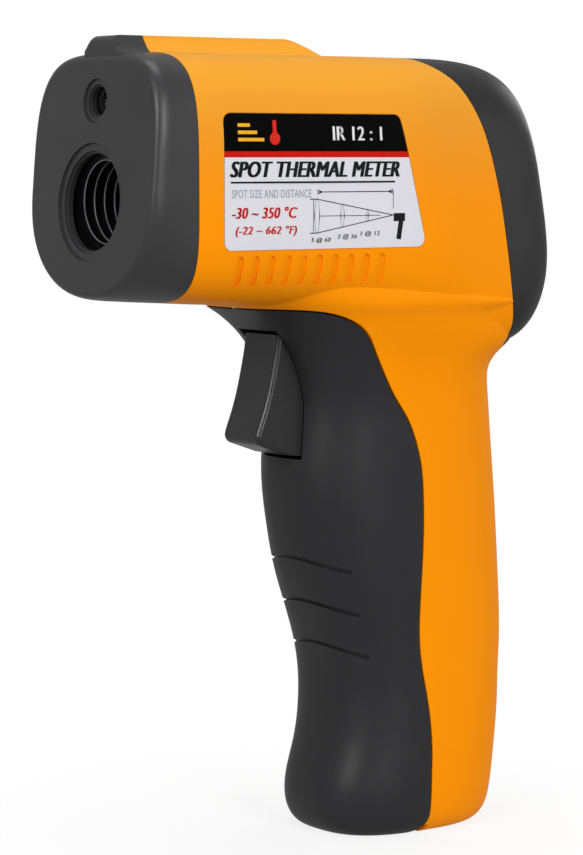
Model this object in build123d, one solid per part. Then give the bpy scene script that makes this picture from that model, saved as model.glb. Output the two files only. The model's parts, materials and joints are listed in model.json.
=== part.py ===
"""Pistol-grip infrared thermometer, built as an assembly of separate pieces.

Frame: the nose points along -X, the display along +X, +Z is up. The origin is at the centre of
the overall box in X and Y, on the flat base of the grip. All lengths are in millimetres.
"""
from build123d import *
from functools import cache
from math import cos, sin, tan, radians, pi
import os

os.makedirs("parts", exist_ok=True)

# ---- driving dimensions -------------------------------------------------------------------
HEIGHT = 153.0            # base of the grip to the top of the sight rail
WALL = 2.0                # moulded wall thickness
BASE_WALL = 2.5           # wall under the grip
SPLIT_GAP = 0.07          # half the line between the two housings
TRIM_GAP = 0.15           # line between the housings and the fixed bezels
DOOR_GAP = 0.30           # line between the housings and the battery door
FAR = 120.0               # reaches past the whole object

NOSE_SEAM = -40.0         # where the nose bezel meets the housings
NOSE_FACE = -49.3         # nose face at the bore's height
FACE_LEAN = 4.4           # the nose face leans back by this many degrees
BORE_Z = 122.8            # optical axis height
BORE_R = 8.9              # muzzle hole
BORE_RIM_R = 10.8         # chamfer round the muzzle hole
LASER_Z = 141.1           # laser axis height
LASER_HOLE_R = 2.7
LASER_RIM_R = 4.1

REAR_X = 46.0             # display face at z = REAR_Z
REAR_Z = 124.0
REAR_LEAN = 10.5          # the display face looks up by this many degrees

HINGE_X, HINGE_Z = 14.0, 4.0        # battery door hinge axis
HINGE_ROUND = 3.95                  # door's rounded heel about that axis
DOOR_SWEEP_R = 5.1                  # reach of the door's flat base about the hinge as it turns
DOOR_SWEEP_TOP = 1.5                # height up to which the housing makes room for it
KNUCKLE_R = 3.2
LUG_IN, LUG_OUT = 8.0, 10.5         # housing lugs, distance from the centre plane
PEG_R = 1.5

PIVOT_X, PIVOT_Z = -3.5, 96.0       # trigger pivot
PIN_R = 1.0
TRIGGER_WIDTH = 11.5
SLOT_HALF = TRIGGER_WIDTH / 2 + 0.3
SLOT_LOW, SLOT_HIGH = 73.6, 98.3
WEB_IN, WEB_OUT = 6.4, 8.4          # inner webs that carry the trigger

BATTERY_X, BATTERY_Z = 22.0, 9.0    # centre and lower end of the nine volt block
BATTERY = (17.2, 26.0, 46.4)
BATTERY_LOW_SHELF = 1.0

POST_R = 3.6
PILOT_R = 1.25
SCREW_SHANK_R = 1.2
SCREW_HEAD_R = 2.4
SCREW_HEAD_H = 1.8
SCREW_LENGTH = 16.0
# x, z, and how far from the centre plane the head seats
SCREW_SPOTS = [(-20.0, 143.4, 11.0), (15.5, 142.4, 11.0), (-32.0, 108.1, 11.0), (33.2, 82.0, 7.5),
               (35.0, 22.0, 7.5)]

LABEL_DEPTH = 0.25
POINTS_ROUND = 40                   # points on each section ring

# ---- section tables -----------------------------------------------------------------------
# Head rings, nose to display: x at mid height, lean, top, bottom, half width, and how square
# the upper and lower halves are.
HEAD_MID = 124.0
HEAD_ROWS = [
    (-49.30, -4.4, 148.3, 106.3, 19.9, 3.8, 2.2),
    (-48.90, -4.3, 149.1, 105.6, 20.7, 3.9, 2.2),
    (-47.80, -3.9, 149.6, 105.1, 21.2, 4.0, 2.3),
    (-45.00, -2.8, 149.8, 104.7, 21.4, 4.0, 2.8),
    (-40.00, -1.0, 150.0, 104.4, 21.5, 4.0, 3.9),
    (-25.00, 0.0, 150.0, 103.6, 21.5, 4.0, 4.4),
    (0.00, 2.0, 150.0, 101.8, 21.5, 4.0, 4.6),
    (10.00, 5.5, 150.0, 99.9, 21.5, 4.0, 4.6),
    (15.00, 8.0, 150.0, 98.3, 21.3, 3.9, 4.6),
    (20.50, 10.3, 150.0, 96.2, 20.6, 3.8, 4.8),
    (26.50, 11.8, 150.0, 94.2, 19.7, 3.6, 5.3),
    (33.00, 12.0, 149.9, 94.6, 18.8, 3.4, 5.6),
    (38.50, 11.8, 149.3, 96.8, 17.8, 3.3, 4.8),
    (42.80, 11.2, 148.1, 99.7, 16.6, 3.1, 3.9),
    (45.00, 10.8, 146.6, 102.0, 15.6, 3.0, 3.4),
    (46.00, 10.5, 144.8, 104.2, 14.5, 2.8, 3.1),
]
# Grip rings, base to head: height, front, back, half width, squareness.
GRIP_ROWS = [
    (0.0, 2.8, 35.4, 12.6, 2.7, 2.7),
    (0.8, 1.3, 37.1, 13.9, 2.7, 2.7),
    (2.4, 0.0, 38.6, 14.9, 2.7, 2.7),
    (6.0, -1.0, 39.8, 15.6, 2.7, 2.7),
    (11.0, -0.4, 40.5, 15.8, 2.7, 2.7),
    (17.0, 1.4, 41.1, 15.8, 2.7, 2.7),
    (23.5, 2.4, 41.6, 15.8, 2.7, 2.7),
    (30.0, 2.4, 41.8, 15.8, 2.7, 2.7),
    (36.0, 1.4, 42.1, 15.9, 2.7, 2.7),
    (43.0, -0.8, 42.1, 16.0, 2.7, 2.7),
    (51.0, -3.6, 41.8, 16.0, 2.7, 2.7),
    (60.0, -5.6, 41.3, 16.0, 2.7, 2.7),
    (70.0, -6.8, 40.5, 16.0, 2.7, 2.7),
    (79.0, -6.3, 39.6, 16.0, 2.7, 2.7),
    (86.0, -6.3, 38.8, 16.3, 2.7, 2.7),
    (91.0, -7.8, 38.6, 16.9, 2.7, 3.0),
    (93.2, -8.8, 39.5, 17.3, 2.7, 3.6),
    (95.0, -9.8, 40.8, 17.8, 2.7, 4.2),
    (98.5, -12.9, 42.0, 18.7, 2.7, 4.0),
    (101.5, -17.0, 43.0, 19.5, 2.7, 3.6),
    (104.5, -22.0, 43.5, 20.2, 2.8, 3.4),
    (110.0, -26.5, 43.0, 20.6, 2.9, 3.4),
]
# Line between the housings and the rear bezel, seen from the side.
REAR_SEAM = [(16.0, 156.0), (17.0, 150.0), (22.0, 146.0), (25.5, 141.2), (27.6, 137.1),
             (29.6, 131.7), (31.8, 124.2), (33.5, 115.8), (34.9, 107.4), (36.1, 101.0),
             (36.6, 97.8), (36.4, 95.9), (35.9, 94.4)]
# Line between the housings and the battery door, seen from the side, from the nose side down.
DOOR_SEAM = [(-30.0, 102.9), (-20.0, 102.5), (-12.0, 102.3), (-7.0, 101.6), (-3.0, 100.3),
             (0.6, 98.0), (3.1, 94.6), (6.0, 89.6), (8.9, 84.9), (11.8, 80.8), (13.5, 77.1),
             (14.8, 72.7), (15.5, 66.0), (15.6, 59.3), (15.4, 53.7), (14.9, 44.9),
             (14.9, 38.4), (15.7, 32.4), (17.0, 26.2), (17.9, 19.6), (18.0, 12.0),
             (HINGE_X + HINGE_ROUND, HINGE_Z)]


# ---- small helpers --------------------------------------------------------------------------
def box(x, y, z):
    """Box from its (low, high) limits along each axis."""
    size = Vector(x[1] - x[0], y[1] - y[0], z[1] - z[0])
    middle = Vector((x[0] + x[1]) / 2, (y[0] + y[1]) / 2, (z[0] + z[1]) / 2)
    return Pos(middle) * Box(size.X, size.Y, size.Z)


def rod_x(r, x, y, z):
    """Cylinder along X between the two x limits."""
    return Pos((x[0] + x[1]) / 2, y, z) * Rot(0, 90, 0) * Cylinder(r, x[1] - x[0])


def rod_y(r, x, y, z):
    """Cylinder along Y between the two y limits."""
    return Pos(x, (y[0] + y[1]) / 2, z) * Rot(90, 0, 0) * Cylinder(r, y[1] - y[0])


def side_prism(wire, y):
    """Solid from an outline drawn in X and Z, between two y limits."""
    face = Face(wire)
    solid = extrude(Pos(0, y[0], 0) * face, amount=y[1] - y[0], dir=(0, 1, 0))
    return solid


def side_outline(points, curve=None):
    """Closed X and Z outline of straight runs; curve, if given, is a smooth first stretch."""
    corners = [Vector(x, 0, z) for x, z in points]
    if curve is None:
        return Wire(Polyline(*corners, close=True).edges())
    smooth = Spline(*[Vector(x, 0, z) for x, z in curve])
    rest = Polyline(smooth @ 1, *corners, smooth @ 0)
    return Wire([smooth.edge()] + list(rest.edges()))


def half(side):
    """Half space on one side of the centre plane, clear of the split line."""
    limits = (SPLIT_GAP, FAR) if side > 0 else (-FAR, -SPLIT_GAP)
    return box((-FAR, FAR), limits, (-FAR, 2 * FAR))


def across(side, near, far):
    """Y limits between two distances from the centre plane, on one side."""
    return (near, far) if side > 0 else (-far, -near)


def ring_point(angle, square_high, square_low, reach_high, reach_low, reach_side):
    """Point of a superellipse in one direction from its middle: across, up."""
    c, s = cos(angle), sin(angle)
    square, reach = (square_high, reach_high) if s > 0 else (square_low, reach_low)
    r = (abs(c / reach_side) ** square + abs(s / reach) ** square) ** (-1 / square)
    return r * c, r * s


def ring_angles():
    return [(2 * k + 1) * pi / POINTS_ROUND for k in range(POINTS_ROUND)]


def ring_wire(points):
    """Closed smooth ring; every ring has its points at the same parameters."""
    evenly = [k / POINTS_ROUND for k in range(POINTS_ROUND + 1)]
    return Wire([Edge.make_spline(points, periodic=True, parameters=evenly)])


def drawn_in(x, inset):
    """Moves the end rings of the head inwards, so that its end walls have thickness too."""
    if x < -46:
        return x + inset
    if x > 33:
        return x - inset * ((x - 33) / (REAR_X - 33)) ** 2
    return x


@cache
def head(inset=0.0):
    """Head of the housing as one smooth body; inset shrinks it evenly."""
    rings = []
    for x, lean, top, bottom, side, square_high, square_low in HEAD_ROWS:
        t = radians(lean)
        up = (top - HEAD_MID) / cos(t) - inset
        down = (HEAD_MID - bottom) / cos(t) - inset
        points = []
        for angle in ring_angles():
            y, u = ring_point(angle, square_high, square_low, up, down, side - inset)
            points.append(Vector(drawn_in(x, inset) - u * sin(t), y, HEAD_MID + u * cos(t)))
        rings.append(ring_wire(points))
    return Solid.make_loft(rings, False)


@cache
def grip(inset=0.0):
    """Grip as one smooth body; inset shrinks it evenly and lifts its floor."""
    rings = []
    for z, front, back, side, square_front, square_back in GRIP_ROWS:
        reach = (back - front) / 2 - inset
        points = []
        for angle in ring_angles():
            y, u = ring_point(angle, square_back, square_front, reach, reach, side - inset)
            points.append(Vector((front + back) / 2 + u, y, z))
        rings.append(ring_wire(points))
    body = Solid.make_loft(rings, False)
    if inset > 0:
        body = body & box((-FAR, FAR), (-FAR, FAR), (BASE_WALL * inset / WALL, FAR))
    return body


def sight_rail():
    """Low rail along the top of the head, with hollow flanks and a rounded rear end."""
    foot, waist, shoulder, flat = 9.0, 4.3, 3.5, 2.7
    edges = []
    for s in (1, -1):
        edges.append(ThreePointArc((0, s * foot, 149.2), (0, s * 5.7, 150.0), (0, s * waist, 151.4)))
        edges.append(Line((0, s * waist, 151.4), (0, s * shoulder, 152.5)))
        edges.append(ThreePointArc((0, s * shoulder, 152.5), (0, s * 3.2, 153.0), (0, s * flat, HEIGHT)))
    edges.append(Line((0, flat, HEIGHT), (0, -flat, HEIGHT)))
    edges.append(Polyline((0, foot, 149.2), (0, foot, 147.5), (0, -foot, 147.5), (0, -foot, 149.2)))
    profile = Face(Wire([e for part in edges for e in part.edges()]))
    rail = extrude(Pos(-60, 0, 0) * profile, amount=62, dir=(1, 0, 0))
    lean = tan(radians(FACE_LEAN))
    front_low = NOSE_FACE + 0.3 + (140 - BORE_Z) * lean
    brow = NOSE_FACE + 0.3 + (151.4 - BORE_Z) * lean
    side_curve = [(-10.2, HEIGHT + 0.01), (-7.2, 152.9), (-4.2, 151.8), (-1.8, 150.4), (0.0, 149.0)]
    rounded = [(brow, 151.4), (brow + 0.2, 152.1), (brow + 0.6, 152.6), (brow + 1.2, 152.9)]
    top = (brow + 2.2, HEIGHT + 0.01)
    limit = side_outline([(0.0, 140.0), (front_low, 140.0), *rounded, top], side_curve)
    # seen from above, the flared foot draws in towards the nose
    left = Spline((-53, -3.6), (-48.6, -4.4), (-45.4, -6.4), (-41.5, -9.1))
    right = Spline((-41.5, 9.1), (-45.4, 6.4), (-48.6, 4.4), (-53, 3.6))
    back = Polyline(left @ 1, (5, -9.1), (5, 9.1), right @ 0)
    plan = make_face([left.edge(), *back.edges(), right.edge(), Line(right @ 1, left @ 0).edge()])
    return rail & side_prism(limit, (-15, 15)) & extrude(Pos(0, 0, 140) * plan, amount=20)


# ---- the outside, the hollow, and the lines that divide them ---------------------------------
OUTSIDE = head() + grip() + sight_rail()
HOLLOW = head(WALL) + grip(WALL)
SHELL = OUTSIDE - HOLLOW
INNER_LIMIT = head(0.8) + grip(0.8)      # ribs and posts reach into the wall, not through it


def nose_zone(gap):
    return box((-FAR, NOSE_SEAM + gap), (-FAR, FAR), (60, FAR * 2))


def rear_zone(gap):
    curve = [(x - gap, z - gap * 0.3) for x, z in REAR_SEAM]
    corners = [(FAR, curve[-1][1]), (FAR, 170.0), (curve[0][0], 170.0)]
    return side_prism(side_outline(corners, curve), (-FAR, FAR))


def door_zone(gap):
    """Region of the battery door, with its rounded heel about the hinge."""
    curve = [(x + gap, z + gap) for x, z in DOOR_SEAM[:-1]]
    heel = HINGE_ROUND + gap
    seam = Spline(*[Vector(x, 0, z) for x, z in curve])
    drop = Line(seam @ 1, (HINGE_X + heel, 0, HINGE_Z))
    turn = ThreePointArc((HINGE_X + heel, 0, HINGE_Z),
                         (HINGE_X + heel * sin(pi / 4), 0, HINGE_Z - heel * cos(pi / 4)),
                         (HINGE_X, 0, HINGE_Z - heel))
    rest = Polyline(turn @ 1, (HINGE_X, 0, -10), (-60, 0, -10), (-60, 0, curve[0][1]), seam @ 0)
    return side_prism(Wire(list(seam.edges()) + list(drop.edges()) + list(turn.edges())
                           + list(rest.edges())), (-FAR, FAR))


REAR_FACE = Plane(origin=(REAR_X, 0, REAR_Z), x_dir=(0, 1, 0),
                  z_dir=(cos(radians(REAR_LEAN)), 0, sin(radians(REAR_LEAN))))


def on_rear(shape):
    """Places a shape made about the display face: x across, y up the face, z outwards."""
    return REAR_FACE.location * shape


def plate(width, height, u, v, low, high, corner=0.0):
    """Plate parallel to the display face, between two depths, in that face's own axes."""
    outline = RectangleRounded(width, height, corner) if corner else Rectangle(width, height)
    return Pos(u, v, low) * extrude(outline, amount=high - low)


def rear_point(u, v, w):
    """Place in the row frame of a point in the display face's axes."""
    t = radians(REAR_LEAN)
    return Vector(REAR_X + w * cos(t) - v * sin(t), u, REAR_Z + w * sin(t) + v * cos(t))


# ---- labels ----------------------------------------------------------------------------------
LABEL_FRONT, LABEL_TOP, LABEL_BOTTOM = -34.4, 138.8, 114.2
LABEL_BACK_TOP, LABEL_BACK_BOTTOM = 5.5, 11.8
LABEL_CORNER = 1.6


def label_prism(side, grow):
    corners = [(LABEL_FRONT - grow, LABEL_TOP + grow), (LABEL_BACK_TOP + grow, LABEL_TOP + grow),
               (LABEL_BACK_BOTTOM + grow, LABEL_BOTTOM - grow),
               (LABEL_FRONT - grow, LABEL_BOTTOM - grow)]
    prism = side_prism(side_outline(corners), across(side, 10, 30))
    return fillet(prism.edges().filter_by(Axis.Y), LABEL_CORNER + grow)


def label(side):
    return (label_prism(side, 0) & head(0.03)) - head(LABEL_DEPTH)


# ---- housings --------------------------------------------------------------------------------
VENT_COUNT = 10
VENT_PITCH = 3.57
VENT_FIRST_X = -30.8
VENT_LOW, VENT_HIGH = 107.8, 113.1
VENT_WIDTH = 1.6
VENT_DEPTH = 0.35


def vent_cutter(side):
    """Row of short upright grooves under the label."""
    slots = []
    for k in range(VENT_COUNT):
        x = VENT_FIRST_X + VENT_PITCH * k
        r = VENT_WIDTH / 2
        low, high = VENT_LOW + r, VENT_HIGH - r
        slots.append(box((x - r, x + r), across(side, 15, 25), (low, high)))
        slots.append(rod_y(r, x, across(side, 15, 25), low))
        slots.append(rod_y(r, x, across(side, 15, 25), high))
    return Part() + slots


def inner_ribs(side):
    """Posts, webs, shelves and lugs inside one housing."""
    ribs = []
    for x, z, _ in SCREW_SPOTS:
        ribs.append(rod_y(POST_R, x, across(side, SPLIT_GAP, 24), z))
    # plates that cradle the optics barrel and the laser
    for x in (-37.0, -25.5):
        ribs.append(box((x, x + 1.5), across(side, SPLIT_GAP, 24), (102, 152)))
    # shelf over the door opening, and the web that carries the trigger
    ribs.append(box((-15.5, 14), across(side, WEB_IN, 24), (106.0, 107.6)))
    web = [(-5.6, 107.0), (14.0, 107.0), (14.0, 72.0), (5.5, 72.0), (5.5, 84.0), (-1.2, 93.2),
           (-4.6, 93.9), (-5.6, 95.4)]
    ribs.append(side_prism(side_outline(web), across(side, WEB_IN, WEB_OUT)))
    ribs.append(box((5.5, 7.0), across(side, SPLIT_GAP, WEB_IN + 0.1), (83.5, 91.0)))
    ribs.append(box((12.5, 14.0), across(side, WEB_IN, 24), (83.5, 107.0)))
    # battery shelf and back ribs
    top = BATTERY_Z - 0.1
    ribs.append(box((19.5, 45), across(side, SPLIT_GAP, 24), (top - BATTERY_LOW_SHELF, top)))
    for z in (34.0, 50.0):
        ribs.append(box((BATTERY_X + BATTERY[0] / 2 + 0.3, 45), across(side, SPLIT_GAP, 24), (z, z + 1.5)))
    # hinge lug
    lug = rod_y(3.6, HINGE_X, across(side, LUG_IN, LUG_OUT), HINGE_Z)
    lug += box((HINGE_X, 23), across(side, LUG_IN, LUG_OUT), (0.5, 6.4))
    ribs.append(lug)
    return ribs


def housing(side):
    shell = SHELL & half(side)
    shell -= nose_zone(TRIM_GAP)
    shell -= rear_zone(TRIM_GAP)
    shell -= door_zone(DOOR_GAP)
    keep = INNER_LIMIT & half(side)
    keep -= nose_zone(TRIM_GAP)
    keep -= rear_zone(TRIM_GAP)
    ribs = Part() + inner_ribs(side)
    inside = (ribs & keep)
    # inside the door only the webs and lugs stay, and they keep clear of its wall
    clear_of_door = door_zone(DOOR_GAP) - grip(WALL + 0.5)
    inside -= clear_of_door
    body = shell + inside
    body -= rod_x(BARREL_R + 0.1, (-60, -9), 0, BORE_Z)
    body -= rod_x(LASER_R + 0.1, (-60, -32), 0, LASER_Z)
    body -= box((-27, -22), (-2.2, 2.2), (134, 142))
    body -= rod_y(PIN_R + 0.03, PIVOT_X, across(side, 5, 8.9), PIVOT_Z)
    body -= rod_y(PEG_R + 0.06, HINGE_X, across(side, 7, 10.3), HINGE_Z)
    # room for the door's flat base as it turns past the housing's edge
    swept = rod_y(DOOR_SWEEP_R, HINGE_X, (-FAR, FAR), HINGE_Z)
    body -= swept & box((HINGE_X, HINGE_X + DOOR_SWEEP_R), (-FAR, FAR), (-1, DOOR_SWEEP_TOP))
    for x, z, seat in SCREW_SPOTS:
        if side < 0:
            body -= rod_y(PILOT_R, x, (-8, 1), z)
        else:
            body -= rod_y(PILOT_R + 0.15, x, (-1, seat + 1), z)
            body -= rod_y(SCREW_HEAD_R + 0.25, x, (seat, 30), z)
    body -= vent_cutter(side) - head(VENT_DEPTH)
    body -= label_prism(side, 0.12) - head(LABEL_DEPTH + 0.02)
    return body


# ---- nose ------------------------------------------------------------------------------------
BARREL_R = 10.6
BARREL_FRONT, BARREL_BACK = -46.3, -22.0
LASER_R = 3.25
LASER_FRONT, LASER_BACK = -45.5, -33.0


def cone_x(r_front, r_back, x, z):
    """Cone frustum along X, from the first radius at x[0] to the second at x[1]."""
    return Pos((x[0] + x[1]) / 2, 0, z) * Rot(0, 90, 0) * Cone(r_front, r_back, x[1] - x[0])


def face_recess(r, z, depth):
    """Shallow round recess in the leaning nose face, centred at height z."""
    t = radians(FACE_LEAN)
    middle = Vector(NOSE_FACE + (z - BORE_Z) * tan(t), 0, z)
    face = Plane(origin=middle, x_dir=(0, 1, 0), z_dir=(-cos(t), 0, sin(t)))
    return face.location * (Pos(0, 0, 3 - depth) * Cylinder(r, 6))


def nose_bezel():
    body = SHELL & nose_zone(0)
    body -= rod_x(BORE_R, (-60, -45), 0, BORE_Z)
    body -= face_recess(BORE_RIM_R, BORE_Z, 0.4)
    body -= face_recess(BORE_R + 0.5, BORE_Z, 0.9)
    body -= rod_x(LASER_HOLE_R, (-60, -45), 0, LASER_Z)
    body -= face_recess(LASER_RIM_R, LASER_Z, 0.4)
    body -= face_recess(LASER_HOLE_R + 0.4, LASER_Z, 0.8)
    return body


BAFFLE_R = 9.5              # bore of the tube where the ringed sleeve sits
BAFFLE_INNER_R = 8.7        # bore of that sleeve between its rings
BAFFLE_LENGTH = 16.0
RING_PITCH = 2.2
RING_DEPTH = 1.1
LENS_SEAT_R = 8.6           # bore of the tube round the lens


def optics_barrel():
    """Plain tube behind the muzzle hole, with a shoulder for the ringed sleeve."""
    body = rod_x(BARREL_R, (BARREL_FRONT, BARREL_BACK), 0, BORE_Z)
    body -= rod_x(LENS_SEAT_R, (BARREL_FRONT - 1, BARREL_BACK + 1), 0, BORE_Z)
    body -= rod_x(BAFFLE_R, (BARREL_FRONT - 1, BARREL_FRONT + BAFFLE_LENGTH), 0, BORE_Z)
    return body


def stray_light_sleeve():
    """Thin sleeve in the tube with sharp rings that keep stray light off the lens."""
    end = BARREL_FRONT + BAFFLE_LENGTH - 0.05
    body = rod_x(BAFFLE_R - 0.04, (BARREL_FRONT, end), 0, BORE_Z)
    body -= rod_x(BAFFLE_INNER_R, (BARREL_FRONT - 1, end + 1), 0, BORE_Z)
    tip_r = BAFFLE_INNER_R - RING_DEPTH
    for k in range(7):
        x = BARREL_FRONT + 0.5 + RING_PITCH * k
        ring = rod_x(BAFFLE_INNER_R + 0.2, (x, x + 1.4), 0, BORE_Z)
        ring -= cone_x(tip_r, BAFFLE_INNER_R, (x + 0.2, x + 1.41), BORE_Z)
        ring -= rod_x(tip_r, (x - 1, x + 0.21), 0, BORE_Z)
        body += ring
    return body


LENS_X = -28.4
LENS_THICK = 1.9


def infrared_lens():
    """Disc with a flat front and a bulged back."""
    ball_r = 30.0
    ball = Pos(LENS_X + LENS_THICK - ball_r, 0, BORE_Z) * Sphere(ball_r)
    return rod_x(8.5, (LENS_X, LENS_X + 3), 0, BORE_Z) & ball


def lens_ring():
    ring = rod_x(8.5, (LENS_X + 1.15, LENS_X + 2.9), 0, BORE_Z)
    return ring - rod_x(7.2, (LENS_X, LENS_X + 4), 0, BORE_Z)


SENSOR_FRONT = -15.0


def sensor_holder():
    body = rod_x(BARREL_R, (BARREL_BACK + 0.05, -11.0), 0, BORE_Z)
    body -= rod_x(8.6, (BARREL_BACK - 1, -17.0), 0, BORE_Z)
    body -= rod_x(4.7, (-20, -9), 0, BORE_Z)
    return body


def sensor_can():
    body = rod_x(4.1, (SENSOR_FRONT, -11.6), 0, BORE_Z)
    body += rod_x(4.6, (-11.9, -11.1), 0, BORE_Z)
    body -= rod_x(1.4, (SENSOR_FRONT - 1, SENSOR_FRONT + 0.3), 0, BORE_Z)
    return body


def sensor_board():
    return rod_x(9.6, (-10.95, -9.35), 0, BORE_Z)


def laser_module():
    body = rod_x(LASER_R, (LASER_FRONT, LASER_BACK), 0, LASER_Z)
    return body - rod_x(1.7, (LASER_FRONT - 1, LASER_FRONT + 1.6), 0, LASER_Z)


def laser_lens():
    return rod_x(1.68, (LASER_FRONT + 0.5, LASER_FRONT + 1.55), 0, LASER_Z)


# ---- rear bezel, display and keys -----------------------------------------------------------
WINDOW = (23.0, 18.6)
WINDOW_V = 6.8
PANEL = (22.4, 18.2)
SIGHT = (20.0, 15.4)
KEY = (8.4, 6.4)
KEY_U = 5.6
KEY_V = -11.0
BOARD = (25.0, 40.2)
BOARD_V = -1.1
BOARD_FRONT, BOARD_BACK = -7.0, -8.6
BOARD_SCREW = (10.0, -18.4)


def rear_bezel():
    body = SHELL & rear_zone(0)
    body -= on_rear(plate(WINDOW[0] + 0.3, WINDOW[1] + 0.3, 0, WINDOW_V, -1.05, 3, 1.5))
    body -= on_rear(plate(SIGHT[0], SIGHT[1], 0, WINDOW_V, -4, 3, 1.2))
    for s in (-1, 1):
        body -= on_rear(plate(KEY[0] + 0.6, KEY[1] + 0.6, s * KEY_U, KEY_V, -4, 3, 1.8))
        post = on_rear(Pos(s * BOARD_SCREW[0], BOARD_SCREW[1], (BOARD_FRONT + 0.02 - 1.5) / 2)
                       * Cylinder(1.9, -1.5 - BOARD_FRONT - 0.02))
        hole = on_rear(Pos(s * BOARD_SCREW[0], BOARD_SCREW[1], -5) * Cylinder(0.95, 5))
        body += post & INNER_LIMIT
        body -= hole
    return body


def lcd_window():
    return on_rear(plate(WINDOW[0], WINDOW[1], 0, WINDOW_V, -1.0, -0.1, 1.4))


def lcd_panel():
    return on_rear(plate(PANEL[0], PANEL[1], 0, WINDOW_V, -4.1, -2.2, 0.4))


def backlight():
    return on_rear(plate(PANEL[0], PANEL[1], 0, WINDOW_V, -6.9, -4.15, 0.4))


def key(side):
    cap = plate(KEY[0], KEY[1], side * KEY_U, KEY_V, -3.2, 0.9, 1.5)
    cap = fillet(cap.faces().sort_by(Axis.Z)[-1].edges(), 0.5)
    cap += plate(KEY[0] + 1.6, KEY[1] + 1.6, side * KEY_U, KEY_V, -3.2, -2.4, 1.5)
    cap += Pos(side * KEY_U, KEY_V, -3.6) * Cylinder(1.4, 0.8)
    return on_rear(cap)


def key_switches():
    group = []
    for s in (-1, 1):
        switch = plate(6, 6, s * KEY_U, KEY_V, BOARD_FRONT + 0.02, BOARD_FRONT + 1.6, 0.4)
        switch += Pos(s * KEY_U, KEY_V, BOARD_FRONT + 1.7) * Cylinder(1.6, 0.5)
        group.append(on_rear(switch))
    return Compound(children=[g.solid() for g in group])


def main_board():
    board = plate(BOARD[0], BOARD[1], 0, BOARD_V, BOARD_BACK, BOARD_FRONT, 1.0)
    for s in (-1, 1):
        board -= Pos(s * BOARD_SCREW[0], BOARD_SCREW[1], -8) * Cylinder(1.15, 6)
    return on_rear(board)


def board_chips():
    low = BOARD_BACK - 0.02
    chips = [plate(10, 10, 0, -2.0, low - 1.4, low, 0.3),
             plate(5, 4, 8, 9, low - 1.2, low, 0.3),
             plate(4, 3, -8.5, 12, low - 1.2, low, 0.3),
             plate(3.2, 1.8, 8, 2, low - 0.9, low),
             plate(3.2, 1.8, -8, 3, low - 0.9, low)]
    return Compound(children=[on_rear(c).solid() for c in chips])


def buzzer():
    return on_rear(Pos(-7.4, -11.9, BOARD_BACK - 1.77) * Cylinder(4.2, 3.5))


def board_screws():
    group = []
    for s in (-1, 1):
        screw = Pos(s * BOARD_SCREW[0], BOARD_SCREW[1], -6.45) * Cylinder(0.9, 4.9)
        screw += Pos(s * BOARD_SCREW[0], BOARD_SCREW[1], BOARD_BACK - 0.62) * Cylinder(1.75, 1.2)
        group.append(on_rear(screw))
    return Compound(children=[g.solid() for g in group])


# ---- battery door ------------------------------------------------------------------------------
# height of each finger line on the front of the grip, and how far back it runs
FINGER_LINES = [(54.8, 1.2), (46.2, 3.4), (37.8, 5.8)]
FINGER_ARC_R = 34.0
FINGER_WIDTH = 0.8
FINGER_DEPTH = 0.5


def finger_line_cutter():
    """Three shallow lines that bow upwards round the front of the grip."""
    cuts = []
    for z, end in FINGER_LINES:
        low = z - FINGER_ARC_R
        band = rod_x(FINGER_ARC_R, (-15, end), 0, low)
        band -= rod_x(FINGER_ARC_R - FINGER_WIDTH, (-16, end + 1), 0, low)
        cuts.append(band & box((-15, end), (-14.5, 14.5), (z - 6, z + 1)))
    return Part() + cuts


def battery_door():
    body = SHELL & door_zone(0)
    body -= box((-30, 12), (-SLOT_HALF, SLOT_HALF), (SLOT_LOW, SLOT_HIGH))
    for s in (-1, 1):
        body -= box((9.7, 25), across(s, LUG_IN - 0.3, LUG_OUT + 0.3), (-5, 9))
        knuckle = rod_y(KNUCKLE_R, HINGE_X, across(s, 3, LUG_IN - 0.3), HINGE_Z)
        knuckle &= box((0, 30), (-20, 20), (0.6, 20))
        body += knuckle
        body += rod_y(PEG_R, HINGE_X, across(s, LUG_IN - 1, LUG_OUT - 0.5), HINGE_Z)
    body -= finger_line_cutter() - grip(FINGER_DEPTH)
    return body


# ---- trigger -------------------------------------------------------------------------------------
TRIGGER_FRONT = [(-11.2, 97.5), (-11.5, 94.8), (-12.3, 90.8), (-13.5, 85.9), (-14.8, 82.0),
                 (-15.8, 79.4), (-16.4, 77.1)]
TRIGGER_BACK = -1.2


def trigger():
    rest = [(-9.1, 74.6), (-4.6, 74.3), (TRIGGER_BACK, 78.0), (TRIGGER_BACK, 92.5),
            (-0.9, 96.0), (-1.9, 98.1), (-3.5, 98.6), (-8.0, 98.0)]
    body = side_prism(side_outline(rest, TRIGGER_FRONT), (-TRIGGER_WIDTH / 2, TRIGGER_WIDTH / 2))
    tip = [e for e in body.edges() if e.center().X < -16 and abs(e.center().Y) < 1]
    body = fillet(tip, 1.7)
    outer = [e for e in body.edges() if e.center().X < -9 and abs(e.center().Y) > 5]
    body = fillet(outer, 1.0)
    body += rod_x(2.0, (TRIGGER_BACK - 1, 0.8), 0, 77.6 + 1.4) & box((-5, 5), (-5, 5), (77.5, 85))
    body -= rod_y(PIN_R + 0.05, PIVOT_X, (-10, 10), PIVOT_Z)
    return body


def trigger_pin():
    return rod_y(PIN_R, PIVOT_X, (-8.5, 8.5), PIVOT_Z)


SPRING_Z = 87.2


def trigger_spring():
    turns, wire, coil_r = 4, 0.28, 1.9
    length = 5.5 - 0.35 - wire - (TRIGGER_BACK + 0.1 + wire)
    coil = Helix(pitch=length / turns, height=length, radius=coil_r)
    section = Plane(origin=coil @ 0, z_dir=coil % 0) * Circle(wire)
    spring = sweep(section, path=coil)
    return Pos(TRIGGER_BACK + 0.1 + wire, 0, SPRING_Z) * Rot(0, 90, 0) * spring


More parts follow.
